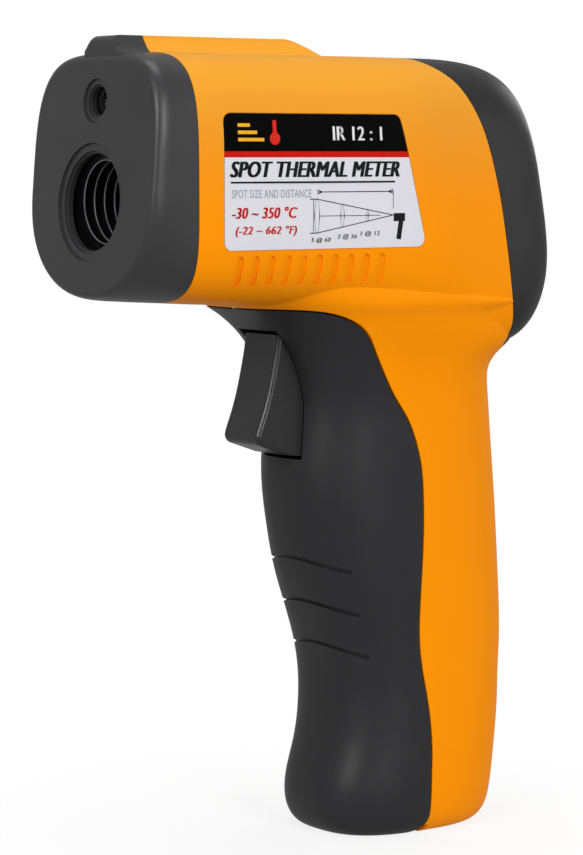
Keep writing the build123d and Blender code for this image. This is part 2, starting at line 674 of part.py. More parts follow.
TRIGGER_BOARD_X = (9.0, 10.6)
SWITCH_Z = 77.6                     # height of the trigger switch and its plunger


def trigger_board():
    return box(TRIGGER_BOARD_X, (-6.2, 6.2), (72.8, 92.5))


def trigger_switch():
    block = box((5.4, TRIGGER_BOARD_X[0] - 0.02), (-3, 3), (SWITCH_Z - 3, SWITCH_Z + 3))
    return block + rod_x(1.7, (4.3, 5.5), 0, SWITCH_Z)


# ---- power -----------------------------------------------------------------------------------------
TERMINAL_Y = 6.35


def battery():
    body = Pos(BATTERY_X, 0, BATTERY_Z + BATTERY[2] / 2) * Box(*BATTERY)
    body = fillet(body.edges().filter_by(Axis.Z), 3.0)
    top = BATTERY_Z + BATTERY[2]
    body += Pos(BATTERY_X, TERMINAL_Y, top + 1.0) * Cylinder(2.85, 2.0)
    body += Pos(BATTERY_X, -TERMINAL_Y, top + 1.0) * Cylinder(3.8, 2.0)
    return body


def battery_snap():
    low = BATTERY_Z + BATTERY[2] + 0.05
    body = Pos(BATTERY_X, 0, low + 2.0) * Box(12.5, 25.0, 4.0)
    body = fillet(body.edges().filter_by(Axis.Z), 4.0)
    body -= Pos(BATTERY_X, TERMINAL_Y, low + 1.0) * Cylinder(2.95, 2.2)
    body -= Pos(BATTERY_X, -TERMINAL_Y, low + 1.0) * Cylinder(3.9, 2.2)
    return body


def lead(points, r):
    """Round wire along straight runs joined by tangent arcs."""
    turns = []
    for before, here, after in zip(points, points[1:], points[2:]):
        run_in, run_out = here - before, after - here
        angle = radians(run_in.get_angle(run_out))
        turns.append(0.45 * min(run_in.length, run_out.length) / tan(angle / 2))
    path = FilletPolyline(*points, radius=turns)
    section = Plane(origin=path @ 0, z_dir=path % 0) * Circle(r)
    return sweep(section, path=path)


def lead_group(routes, r):
    return Compound(children=[lead(route, r).solid() for route in routes])


def battery_leads():
    routes = []
    for y in (-4.0, 4.0):
        low = BATTERY_Z + BATTERY[2] + 4.1
        routes.append([Vector(BATTERY_X, y, low), Vector(BATTERY_X, y, 74), Vector(23, y, 88),
                       Vector(29, y, 98), rear_point(y, -19.8, BOARD_BACK - 4),
                       rear_point(y, -20.5, BOARD_BACK - 0.02)])
    return lead_group(routes, 0.65)


def sensor_leads():
    routes = []
    for y in (-2.5, 0.0, 2.5):
        routes.append([Vector(-9.3, y, 121), Vector(-3, y, 120.6), Vector(7, y, 122.5),
                       Vector(19, y, 123), Vector(29, y, 127), rear_point(y, 4.6, BOARD_BACK - 0.02)])
    return lead_group(routes, 0.5)


def laser_leads():
    routes = []
    for y in (-1.3, 1.3):
        routes.append([Vector(LASER_BACK + 0.05, y, LASER_Z), Vector(-29, y, 140.0),
                       Vector(-22, y, 136.8), Vector(-8, y, 135.6), Vector(10, y, 136.2),
                       Vector(25, y, 134.5), rear_point(y, 12.5, BOARD_BACK - 0.02)])
    return lead_group(routes, 0.5)


def trigger_leads():
    routes = []
    for y in (-2.0, 2.0):
        routes.append([Vector(10.62, y, 90), Vector(13, y, 90), Vector(16.5, y, 97),
                       Vector(25, y, 105), rear_point(y, -15, BOARD_BACK - 4),
                       rear_point(y, -15.8, BOARD_BACK - 0.02)])
    return lead_group(routes, 0.5)


# ---- fasteners -------------------------------------------------------------------------------------
def housing_screws():
    group = []
    for x, z, seat in SCREW_SPOTS:
        head_top = seat + SCREW_HEAD_H
        screw = rod_y(SCREW_HEAD_R, x, (seat + 0.02, head_top), z)
        screw += rod_y(SCREW_SHANK_R, x, (seat - SCREW_LENGTH + 2, seat + 1), z)
        slots = box((x - 1.5, x + 1.5), (head_top - 0.8, head_top + 1), (z - 0.3, z + 0.3))
        slots += box((x - 0.3, x + 0.3), (head_top - 0.8, head_top + 1), (z - 1.5, z + 1.5))
        group.append((screw - slots).solid())
    return Compound(children=group)


# ---- all nodes -------------------------------------------------------------------------------------
NODES = {
    "left_housing": lambda: housing(-1),
    "right_housing": lambda: housing(1),
    "nose_bezel": nose_bezel,
    "rear_bezel": rear_bezel,
    "battery_door": battery_door,
    "trigger": trigger,
    "trigger_pin": trigger_pin,
    "trigger_spring": trigger_spring,
    "trigger_board": trigger_board,
    "trigger_switch": trigger_switch,
    "optics_barrel": optics_barrel,
    "stray_light_sleeve": stray_light_sleeve,
    "infrared_lens": infrared_lens,
    "lens_ring": lens_ring,
    "sensor_holder": sensor_holder,
    "sensor_can": sensor_can,
    "sensor_board": sensor_board,
    "laser_module": laser_module,
    "laser_lens": laser_lens,
    "lcd_window": lcd_window,
    "lcd_panel": lcd_panel,
    "backlight": backlight,
    "left_key": lambda: key(-1),
    "right_key": lambda: key(1),
    "key_switches": key_switches,
    "main_board": main_board,
    "board_chips": board_chips,
    "buzzer": buzzer,
    "board_screws": board_screws,
    "battery": battery,
    "battery_snap": battery_snap,
    "battery_leads": battery_leads,
    "sensor_leads": sensor_leads,
    "laser_leads": laser_leads,
    "trigger_leads": trigger_leads,
    "housing_screws": housing_screws,
    "left_label": lambda: label(-1),
    "right_label": lambda: label(1),
}

for name, make in NODES.items():
    piece = make()
    export_step(piece, f"parts/{name}.step")
    print(name, len(piece.solids()), round(piece.volume, 2))
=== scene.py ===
"""Looks of the pistol-grip infrared thermometer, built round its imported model.

Everything is in metres in the model's own frame: the nose points along -X, the display along +X
and +Z is up through the grip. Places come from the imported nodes' boxes and the joints' axes.
"""

import json
import logging
from dataclasses import dataclass, field
from enum import Enum
from math import atan2, cos, hypot, pi, radians, sin

import bmesh
import bpy
from mathutils import Matrix, Vector
from mathutils.bvhtree import BVHTree


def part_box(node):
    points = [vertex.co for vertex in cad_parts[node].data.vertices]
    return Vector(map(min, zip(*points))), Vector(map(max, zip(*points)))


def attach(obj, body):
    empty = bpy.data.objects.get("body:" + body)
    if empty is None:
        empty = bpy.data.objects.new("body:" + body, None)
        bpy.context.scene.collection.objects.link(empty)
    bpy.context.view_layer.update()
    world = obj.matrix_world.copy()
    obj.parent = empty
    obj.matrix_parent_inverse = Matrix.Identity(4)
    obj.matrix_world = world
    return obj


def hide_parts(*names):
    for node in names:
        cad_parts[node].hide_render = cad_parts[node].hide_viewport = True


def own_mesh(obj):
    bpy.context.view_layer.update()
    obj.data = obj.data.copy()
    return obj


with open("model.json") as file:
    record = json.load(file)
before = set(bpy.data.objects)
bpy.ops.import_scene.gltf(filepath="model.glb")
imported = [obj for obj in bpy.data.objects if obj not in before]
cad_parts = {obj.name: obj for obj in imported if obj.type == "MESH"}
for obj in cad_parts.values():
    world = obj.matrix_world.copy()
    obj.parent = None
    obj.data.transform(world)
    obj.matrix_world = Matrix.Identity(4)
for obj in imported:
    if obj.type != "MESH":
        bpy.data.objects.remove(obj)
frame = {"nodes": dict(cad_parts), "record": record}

MM = 0.001
LOG = logging.getLogger("thermometer")
Colour = tuple[float, float, float]
Box = tuple[Vector, Vector]


class Side(Enum):
    """Which flank of the head a piece is on, as the sign of its Y."""

    LEFT = -1
    RIGHT = 1


class Body(Enum):
    """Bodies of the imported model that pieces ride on."""

    ROOT = "root"
    LEFT_KEY = "left_key"
    RIGHT_KEY = "right_key"


# ---- node graph helpers ---------------------------------------------------------------------
class Graph:
    """A material's node graph with short calls for the nodes that the finishes use."""

    def __init__(self, name: str) -> None:
        """Makes an empty node material.

        Args:
            name: the material's name.
        """
        self.material = bpy.data.materials.new(name)
        self.material.use_nodes = True
        self.tree = self.material.node_tree
        self.tree.nodes.clear()
        self.out = self.tree.nodes.new("ShaderNodeOutputMaterial")
        self.coords = self.tree.nodes.new("ShaderNodeTexCoord").outputs["Object"]

    def node(self, kind: str, **values: object) -> bpy.types.Node:
        """Adds a node.

        Args:
            kind: the node's type without its ShaderNode prefix.
            values: properties to set on the node.

        Returns:
            The new node.
        """
        made = self.tree.nodes.new("ShaderNode" + kind)
        for key, value in values.items():
            setattr(made, key, value)
        return made

    def feed(self, socket: bpy.types.NodeSocket, value: object) -> None:
        """Links an output to a socket, or sets the socket's own value.

        Args:
            socket: the input to fill.
            value: an output socket, a number or a colour.
        """
        if isinstance(value, bpy.types.NodeSocket):
            self.tree.links.new(value, socket)
        elif isinstance(value, tuple) and len(value) == 3 and socket.type == "RGBA":
            socket.default_value = (*value, 1.0)
        else:
            socket.default_value = value

    def noise(self, scale: float, detail: float = 2.0, rough: float = 0.5) -> bpy.types.NodeSocket:
        """Noise over the object's own coordinates.

        Args:
            scale: cycles in a metre.
            detail: octaves.
            rough: how strong the finer octaves are.

        Returns:
            The noise value's socket.
        """
        tex = self.node("TexNoise")
        self.feed(tex.inputs["Vector"], self.coords)
        self.feed(tex.inputs["Scale"], scale)
        self.feed(tex.inputs["Detail"], detail)
        self.feed(tex.inputs["Roughness"], rough)
        return tex.outputs["Fac"]

    def spread(self, value: object, low: float, high: float) -> bpy.types.NodeSocket:
        """Maps the middle of a noise to a range.

        Args:
            value: the noise.
            low: result where the noise is 0.3.
            high: result where the noise is 0.7.

        Returns:
            The mapped value's socket.
        """
        span = self.node("MapRange")
        self.feed(span.inputs["Value"], value)
        for name, number in (("From Min", 0.3), ("From Max", 0.7), ("To Min", low), ("To Max", high)):
            self.feed(span.inputs[name], number)
        return span.outputs["Result"]

    def math(self, operation: str, a: object, b: object = 0.0) -> bpy.types.NodeSocket:
        """One arithmetic step.

        Args:
            operation: the Math node's operation.
            a: first value.
            b: second value.

        Returns:
            The result's socket.
        """
        step = self.node("Math", operation=operation)
        self.feed(step.inputs[0], a)
        self.feed(step.inputs[1], b)
        return step.outputs[0]

    def mix(self, factor: object, a: object, b: object) -> bpy.types.NodeSocket:
        """Mixes two colours.

        Args:
            factor: 0 for the first colour, 1 for the second.
            a: first colour.
            b: second colour.

        Returns:
            The mixed colour's socket.
        """
        made = self.node("Mix", data_type="RGBA")
        self.feed(made.inputs[0], factor)
        self.feed(made.inputs[6], a)
        self.feed(made.inputs[7], b)
        return made.outputs[2]

    def bump(self, height: object, depth: float, strength: float = 1.0) -> bpy.types.NodeSocket:
        """Small relief from a height value.

        Args:
            height: the height's socket.
            depth: relief in metres.
            strength: how much of it shows.

        Returns:
            The normal's socket.
        """
        made = self.node("Bump")
        self.feed(made.inputs["Height"], height)
        self.feed(made.inputs["Distance"], depth)
        self.feed(made.inputs["Strength"], strength)
        return made.outputs["Normal"]

    def axis(self, name: str) -> bpy.types.NodeSocket:
        """One of the object's own coordinates.

        Args:
            name: X, Y or Z.

        Returns:
            Its socket.
        """
        return self.split().outputs[name]

    def split(self) -> bpy.types.Node:
        """The object's own coordinates, apart."""
        made = self.node("SeparateXYZ")
        self.feed(made.inputs[0], self.coords)
        return made

    def finish(self, **sockets: object) -> bpy.types.Material:
        """Adds the Principled shader.

        Args:
            sockets: its inputs by name, with underscores for spaces.

        Returns:
            The finished material.
        """
        shader = self.node("BsdfPrincipled")
        for name, value in sockets.items():
            self.feed(shader.inputs[name.replace("_", " ")], value)
        self.tree.links.new(shader.outputs[0], self.out.inputs[0])
        return self.material


# ---- finishes ---------------------------------------------------------------------------------
@dataclass(frozen=True)
class MouldedPlastic:
    """Injection-moulded plastic with a fine spark texture and faint flow marks, and optionally a painted
    sheen that turns the colour paler towards the top.
    """

    name: str
    colour: Colour
    deep: Colour
    roughness: float = 0.42
    grain_per_m: float = 3200.0
    grain_depth: float = 0.000012
    specular: float = 0.35
    # pale and the two heights below: a painted sheen, the colour blended to a paler tone between these
    # heights to stand in for the light falling on the top
    pale: Colour | None = None
    painted_sheen_from_z: float = 0.117
    painted_sheen_to_z: float = 0.150

    def build(self) -> bpy.types.Material:
        """Makes the material."""
        g = Graph(self.name)
        flow = g.spread(g.noise(38.0, 2.0), 0.0, 1.0)
        colour = g.mix(flow, self.colour, self.deep)
        # Painted sheen: the colour is painted paler with height, standing in for light from above
        if self.pale:
            rise = g.node("MapRange", interpolation_type="SMOOTHSTEP")
            g.feed(rise.inputs["Value"], g.axis("Z"))
            g.feed(rise.inputs["From Min"], self.painted_sheen_from_z)
            g.feed(rise.inputs["From Max"], self.painted_sheen_to_z)
            colour = g.mix(rise.outputs["Result"], colour, self.pale)
        fine = g.noise(self.grain_per_m, 2.0, 0.6)
        rough = g.spread(g.noise(260.0, 3.0), self.roughness - 0.035, self.roughness + 0.035)
        return g.finish(Base_Color=colour, Roughness=rough, Normal=g.bump(fine, self.grain_depth),
                        IOR=1.48, Specular_IOR_Level=self.specular)


@dataclass(frozen=True)
class Metal:
    """Turned, plated or drawn metal with fine lathe lines."""

    name: str
    colour: Colour
    roughness: float = 0.28
    lines_per_m: float = 5200.0

    def build(self) -> bpy.types.Material:
        """Makes the material."""
        g = Graph(self.name)
        lines = g.node("TexWave", wave_type="BANDS", bands_direction="DIAGONAL")
        g.feed(lines.inputs["Vector"], g.coords)
        g.feed(lines.inputs["Scale"], self.lines_per_m)
        g.feed(lines.inputs["Distortion"], 2.0)
        tarnish = g.spread(g.noise(420.0, 3.0), 0.0, 0.35)
        shade = g.mix(tarnish, self.colour, tuple(c * 0.6 for c in self.colour))
        rough = g.spread(g.noise(900.0, 2.0), self.roughness - 0.06, self.roughness + 0.1)
        return g.finish(Base_Color=shade, Metallic=1.0, Roughness=rough,
                        Normal=g.bump(lines.outputs["Fac"], 0.000004))


@dataclass(frozen=True)
class PrintedFilm:
    """Label film: dark header, one red line, pale field, and a soft overlaminate."""

    name: str
    header: Colour
    line: Colour
    field_colour: Colour
    header_z: float
    line_z: float

    def build(self) -> bpy.types.Material:
        """Makes the material."""
        g = Graph(self.name)
        z = g.axis("Z")
        above_line = g.math("GREATER_THAN", z, self.line_z)
        above_header = g.math("GREATER_THAN", z, self.header_z)
        speckle = g.spread(g.noise(5200.0, 1.0), 0.0, 0.05)
        pale = g.mix(speckle, self.field_colour, tuple(c * 0.7 for c in self.field_colour))
        colour = g.mix(above_line, pale, self.line)
        colour = g.mix(above_header, colour, self.header)
        ripple = g.noise(140.0, 2.0)
        rough = g.spread(g.noise(900.0, 2.0), 0.26, 0.36)
        return g.finish(Base_Color=colour, Roughness=rough, Normal=g.bump(ripple, 0.00004, 0.35),
                        IOR=1.5, Specular_IOR_Level=0.03)


@dataclass(frozen=True)
class Ink:
    """Screen-printed ink, a little uneven in density."""

    name: str
    colour: Colour
    roughness: float = 0.4

    def build(self) -> bpy.types.Material:
        """Makes the material."""
        g = Graph(self.name)
        density = g.spread(g.noise(4200.0, 2.0), 0.0, 0.25)
        worn = g.mix(density, self.colour, tuple(min(1.0, c * 1.3 + 0.002) for c in self.colour))
        return g.finish(Base_Color=worn, Roughness=self.roughness, Specular_IOR_Level=0.05)


@dataclass(frozen=True)
class ShadeFrontedBrass:
    """Turned brass whose front end is painted near-black: painted shade, standing in for the shade
    inside the laser hole.
    """

    name: str
    front_x: float
    brass: Colour = (0.70, 0.49, 0.19)
    # black: colour of the painted shade on the front end
    black: Colour = (0.012, 0.012, 0.013)

    def build(self) -> bpy.types.Material:
        """Makes the material."""
        g = Graph(self.name)
        # Painted shade: in front of front_x the brass is painted near-black
        plain = g.math("GREATER_THAN", g.axis("X"), self.front_x)
        worn = g.spread(g.noise(800.0, 3.0), 0.0, 0.3)
        colour = g.mix(plain, self.black, g.mix(worn, self.brass, tuple(c * 0.6 for c in self.brass)))
        return g.finish(Base_Color=colour, Metallic=plain,
                        Roughness=g.spread(g.noise(700.0, 2.0), 0.3, 0.45))


@dataclass(frozen=True)
class RingedSleeve:
    """Black moulding whose ring crests carry a painted highlight, a paler grey standing in for the light
    catching them.
    """

    name: str
    axis_z: float
    highlight_r: float
    black: Colour = (0.0035, 0.0035, 0.004)
    # colour of the painted highlight on the ring crests
    crest_highlight: Colour = (0.42, 0.42, 0.46)

    def build(self) -> bpy.types.Material:
        """Makes the material."""
        g = Graph(self.name)
        y, z = g.axis("Y"), g.math("SUBTRACT", g.axis("Z"), self.axis_z)
        reach = g.math("SQRT", g.math("ADD", g.math("MULTIPLY", y, y), g.math("MULTIPLY", z, z)))
        # Painted highlight: paler grey painted within this radius of the bore, on the ring crests, with
        # uneven strength
        crest_highlight = g.node("MapRange")
        g.feed(crest_highlight.inputs["Value"], reach)
        g.feed(crest_highlight.inputs["From Min"], self.highlight_r)
        g.feed(crest_highlight.inputs["From Max"], self.highlight_r + 0.16 * MM)
        g.feed(crest_highlight.inputs["To Min"], 1.0)
        g.feed(crest_highlight.inputs["To Max"], 0.0)
        uneven = g.math("MULTIPLY", crest_highlight.outputs["Result"], g.spread(g.noise(300.0, 2.0), 0.5, 1.0))
        return g.finish(Base_Color=g.mix(uneven, self.black, self.crest_highlight),
                        Roughness=g.spread(g.noise(900.0, 2.0), 0.26, 0.36), Specular_IOR_Level=0.3)


@dataclass(frozen=True)
class ClearPlate:
    """Clear acrylic or glass plate."""

    name: str
    tint: Colour
    roughness: float = 0.03
    weight: float = 1.0

    def build(self) -> bpy.types.Material:
        """Makes the material."""
        g = Graph(self.name)
        smear = g.spread(g.noise(160.0, 3.0), self.roughness, self.roughness + 0.05)
        shade = g.mix(g.spread(g.noise(60.0), 0.0, 0.2), self.tint, tuple(c * 0.93 for c in self.tint))
        return g.finish(Base_Color=shade, Roughness=smear, Transmission_Weight=self.weight, IOR=1.49)


@dataclass(frozen=True)
class SolderMask:
    """Circuit board under green solder mask, with traces showing through."""

    name: str
    mask: Colour = (0.012, 0.11, 0.035)
    copper: Colour = (0.05, 0.26, 0.07)

    def build(self) -> bpy.types.Material:
        """Makes the material."""
        g = Graph(self.name)
        cells = g.node("TexVoronoi", feature="DISTANCE_TO_EDGE", distance="MANHATTAN")
        g.feed(cells.inputs["Vector"], g.coords)
        g.feed(cells.inputs["Scale"], 520.0)
        trace = g.math("LESS_THAN", cells.outputs["Distance"], 0.09)
        colour = g.mix(trace, self.mask, self.copper)
        return g.finish(Base_Color=colour, Roughness=g.spread(g.noise(700.0), 0.22, 0.32),
                        Normal=g.bump(trace, 0.00002), IOR=1.5)


@dataclass(frozen=True)
class BatteryCan:
    """Steel can of a nine volt block in a plain two-tone sleeve."""

    name: str
    low: float
    high: float
    dark: Colour = (0.012, 0.013, 0.016)
    band: Colour = (0.55, 0.27, 0.06)
    steel: Colour = (0.55, 0.55, 0.56)

    def build(self) -> bpy.types.Material:
        """Makes the material."""
        g = Graph(self.name)
        z = g.axis("Z")
        upper = g.math("GREATER_THAN", z, self.low + (self.high - self.low) * 0.72)
        bare = g.math("GREATER_THAN", z, self.high - 0.9 * MM)
        colour = g.mix(upper, self.dark, self.band)
        colour = g.mix(bare, colour, self.steel)
        scuff = g.spread(g.noise(600.0, 4.0, 0.7), 0.2, 0.42)
        metal = g.math("MULTIPLY", bare, 0.9)
        return g.finish(Base_Color=colour, Roughness=scuff, Metallic=metal,
                        Normal=g.bump(g.noise(180.0), 0.00003, 0.4))


@dataclass(frozen=True)
class LiquidCrystal:
    """Reflective display panel with a faint mottled haze."""

    name: str
    colour: Colour = (0.30, 0.36, 0.27)

    def build(self) -> bpy.types.Material:
        """Makes the material."""
        g = Graph(self.name)
        haze = g.spread(g.noise(90.0, 2.0), 0.0, 0.3)
        colour = g.mix(haze, self.colour, tuple(c * 0.86 for c in self.colour))
        return g.finish(Base_Color=colour, Roughness=g.spread(g.noise(800.0), 0.24, 0.34))


HEADER_Z = 0.1320
LINE_Z = 0.1309

# The last colour is a painted sheen: the orange is painted paler towards the top of the head, where the
# light from above falls
ORANGE = MouldedPlastic("orange_abs", (0.97, 0.298, 0.0006), (0.96, 0.284, 0.0004), 0.44, 2600.0,
                        0.000010, 0.05, (0.76, 0.330, 0.031))
BEZEL_GREY = MouldedPlastic("bezel_grey_abs", (0.033, 0.033, 0.035), (0.029, 0.029, 0.031), 0.38,
                            2900.0, 0.000013, 0.45)
# Painted shade: a darker copy of the bezel grey, standing in for the shade on the rear bezel
SHADED_REAR_GREY = MouldedPlastic("rear_grey_shaded_abs", (0.0205, 0.0205, 0.0220), (0.0180, 0.0180, 0.0195), 0.42,
                           2900.0, 0.000013, 0.22)
GRIP_GREY = MouldedPlastic("grip_grey_abs", (0.0196, 0.0194, 0.0214), (0.0176, 0.0174, 0.0194), 0.42,
                           3000.0, 0.000010, 0.3)
TRIGGER_GREY = MouldedPlastic("trigger_grey_abs", (0.0175, 0.0175, 0.0190), (0.0155, 0.0155, 0.0170),
                              0.30, 3000.0, 0.000007, 0.5)
BLACK = MouldedPlastic("black_plastic", (0.008, 0.008, 0.009), (0.005, 0.005, 0.006), 0.38)
BAFFLE_BLACK = MouldedPlastic("baffle_black", (0.012, 0.012, 0.013), (0.008, 0.008, 0.009), 0.34)
KEY_RUBBER = MouldedPlastic("key_rubber", (0.060, 0.061, 0.066), (0.050, 0.051, 0.055), 0.58, 4200.0,
                            0.00002)
LIGHT_GUIDE = MouldedPlastic("light_guide", (0.78, 0.78, 0.74), (0.7, 0.7, 0.66), 0.3)
RED_SKIN = MouldedPlastic("red_wire_skin", (0.5, 0.02, 0.015), (0.42, 0.015, 0.012), 0.36)
GREY_SKIN = MouldedPlastic("grey_wire_skin", (0.22, 0.22, 0.23), (0.18, 0.18, 0.19), 0.4)
STEEL = Metal("bright_steel", (0.62, 0.62, 0.63))
NICKEL = Metal("nickel_can", (0.68, 0.65, 0.58), 0.22)
BOARD = SolderMask("green_board")
LENS_DARK = ClearPlate("infrared_lens_dark", (0.10, 0.09, 0.085), 0.12, 0.25)
CLEAR = ClearPlate("clear_window", (0.93, 0.95, 0.95))
LCD = LiquidCrystal("lcd_panel")
LABEL_FILM = PrintedFilm("label_film", (0.0015, 0.0015, 0.0016), (0.56, 0.010, 0.007),
                         (0.70, 0.70, 0.74), HEADER_Z, LINE_Z)
INK_BLACK = Ink("ink_black", (0.012, 0.012, 0.014))
INK_GREY = Ink("ink_grey", (0.27, 0.28, 0.31))
INK_RED = Ink("ink_red", (0.62, 0.022, 0.012))
INK_WHITE = Ink("ink_white", (0.72, 0.72, 0.72))
INK_AMBER = Ink("ink_amber", (0.83, 0.40, 0.02))
SEGMENT_INK = Ink("segment_ink", (0.012, 0.016, 0.014), 0.3)

_made: dict[str, bpy.types.Material] = {}


def material(finish: object) -> bpy.types.Material:
    """The material of a finish, made once.

    Args:
        finish: any of the finishes above.

    Returns:
        Its material.
    """
    if finish.name not in _made:
        _made[finish.name] = finish.build()
    return _made[finish.name]


# ---- shared mesh helpers --------------------------------------------------------------------
def dress(node: str, finish: object) -> bpy.types.Object:
    """Gives a carried-over CAD node its finish.

    Args:
        node: the node's name.
        finish: the finish.

    Returns:
        The node's object.
    """
    obj = frame["nodes"][node]
    obj.data.materials.clear()
    obj.data.materials.append(material(finish))
    LOG.info("dressed %s in %s", node, finish.name)
    return obj


def piece(name: str, mesh: bmesh.types.BMesh, finish: object, body: Body,
          smooth: bool = True) -> bpy.types.Object:
    """Turns a bmesh into a finished piece that rides on a body.

    Args:
        name: the piece's name.
        mesh: its geometry in the model's frame; freed here.
        finish: the finish that it wears.
        body: the body that it rides on.
        smooth: whether its faces are shaded smooth.

    Returns:
        The new object.
    """
    data = bpy.data.meshes.new(name)
    bmesh.ops.remove_doubles(mesh, verts=mesh.verts, dist=1e-7)
    bmesh.ops.recalc_face_normals(mesh, faces=mesh.faces)
    mesh.to_mesh(data)
    mesh.free()
    if smooth:
        data.shade_smooth()
        data.set_sharp_from_angle(angle=radians(32))
    obj = bpy.data.objects.new(name, data)
    bpy.context.scene.collection.objects.link(obj)
    data.materials.append(material(finish))
    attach(obj, body.value)
    LOG.info("made %s: %d faces", name, len(data.polygons))
    return obj


def middle(box: Box) -> Vector:
    """Centre of a box."""
    return (Vector(box[0]) + Vector(box[1])) / 2


def joint(name: str) -> dict:
    """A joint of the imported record.

    Args:
        name: the joint's name.

    Returns:
        Its entry.
    """
    return next(j for j in frame["record"]["behaviour"]["joints"] if j["name"] == name)


def bar(mesh: bmesh.types.BMesh, start: tuple[float, float], end: tuple[float, float],
        width: float) -> list[bmesh.types.BMVert]:
    """Adds a thin flat bar to a drawing in the XY plane.

    Args:
        mesh: the drawing.
        start: one end of the bar's middle line.
        end: its other end.
        width: the bar's width.

    Returns:
        The new vertices.
    """
    run, rise = end[0] - start[0], end[1] - start[1]
    turn = Matrix.Rotation(atan2(rise, run), 4, "Z")
    centre = Vector(((start[0] + end[0]) / 2, (start[1] + end[1]) / 2, 0.0))
    size = Matrix.Diagonal((hypot(run, rise), width, 1.0, 1.0))
    made = bmesh.ops.create_grid(mesh, x_segments=1, y_segments=1, size=0.5,
                                 matrix=Matrix.Translation(centre) @ turn @ size)
    return made["verts"]


def words(mesh: bmesh.types.BMesh, text: str, at: tuple[float, float], height: float,
          width: float | None = None, slant: float = 0.0, bold: float = 0.0) -> None:
    """Adds plain lettering to a drawing in the XY plane.

    Args:
        mesh: the drawing.
        text: what it says.
        at: its lower left corner.
        height: height of its capitals.
        width: width to fit it to, or None for its own width.
        slant: how far the letters lean.
        bold: how far the strokes are widened to each side.
    """
    curve = bpy.data.curves.new("lettering", "FONT")
    curve.body = text
    curve.shear = slant
    curve.space_character = 1.06
    curve.resolution_u = 3
    carrier = bpy.data.objects.new("lettering", curve)
    bpy.context.scene.collection.objects.link(carrier)
    bpy.context.view_layer.update()
    data = bpy.data.meshes.new_from_object(carrier)
    bpy.data.objects.remove(carrier)
    xs = [v.co.x for v in data.vertices]
    ys = [v.co.y for v in data.vertices]
    tall = height / (max(ys) - min(ys))
    wide = width / (max(xs) - min(xs)) if width else tall
    place = Matrix.Translation((at[0], at[1], 0)) @ Matrix.Diagonal((wide, tall, 1, 1))
    data.transform(place @ Matrix.Translation((-min(xs), -min(ys), 0)))
    for shift in (0.0, -bold, bold) if bold else (0.0,):
        data.transform(Matrix.Translation((shift, 0, 0)))
        mesh.from_mesh(data)
        data.transform(Matrix.Translation((-shift, 0, 0)))
    bpy.data.meshes.remove(data)


# ---- housings, bezels and the pieces that keep their CAD shape ---------------------------------
@dataclass
class Casing:
    """The moulded outside: two housings, nose and display bezels, door and trigger."""

    finishes: dict[str, object] = field(default_factory=lambda: {
        "left_housing": ORANGE,
        "right_housing": ORANGE,
        "nose_bezel": BEZEL_GREY,
        # the rear bezel wears the darker grey of painted shade
        "rear_bezel": SHADED_REAR_GREY,
        "battery_door": GRIP_GREY,
        "trigger": TRIGGER_GREY,
        "housing_screws": STEEL,
    })

    def dress(self) -> None:
        """Gives each moulding its plastic."""
        for node, finish in self.finishes.items():
            dress(node, finish)


@dataclass
class Optics:
    """Muzzle tube, lens, sensor and laser."""

    finishes: dict[str, object] = field(default_factory=lambda: {
        "optics_barrel": BAFFLE_BLACK,
        "infrared_lens": LENS_DARK,
        "lens_ring": BLACK,
        "sensor_holder": BLACK,
        "sensor_can": NICKEL,
        "sensor_board": BOARD,
        "laser_lens": CLEAR,
    })
    # depth of the painted shade on the laser module's front end
    shade_front_depth: float = 2.2 * MM
    # radius within which the sleeve's ring crests get the painted highlight
    highlight_r: float = 7.6 * MM

    def dress(self) -> None:
        """Gives each optical piece its finish."""
        for node, finish in self.finishes.items():
            dress(node, finish)
        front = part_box("laser_module")[0].x
        # the laser module's front end gets painted shade, standing in for the shade in the laser hole
        dress("laser_module", ShadeFrontedBrass("laser_brass_shaded_front", front + self.shade_front_depth))
        sleeve = middle(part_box("stray_light_sleeve"))
        dress("stray_light_sleeve", RingedSleeve("ringed_sleeve_painted_highlight", sleeve.z, self.highlight_r))


@dataclass
class Electronics:
    """Boards, switches, battery and leads."""

    finishes: dict[str, object] = field(default_factory=lambda: {
        "main_board": BOARD,
        "trigger_board": BOARD,
        "board_chips": BLACK,
        "buzzer": BLACK,
        "key_switches": BLACK,
        "trigger_switch": BLACK,
        "board_screws": STEEL,
        "trigger_pin": STEEL,
        "battery_snap": BLACK,
        "battery_leads": RED_SKIN,
        "laser_leads": RED_SKIN,
        "sensor_leads": GREY_SKIN,
        "trigger_leads": GREY_SKIN,
        "backlight": LIGHT_GUIDE,
    })
    terminal_height: float = 2.0 * MM

    def dress(self) -> None:
        """Gives each inner piece its finish, and the battery its sleeve."""
        for node, finish in self.finishes.items():
            dress(node, finish)
        low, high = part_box("battery")
        dress("battery", BatteryCan("battery_can", low[2], high[2] - self.terminal_height))


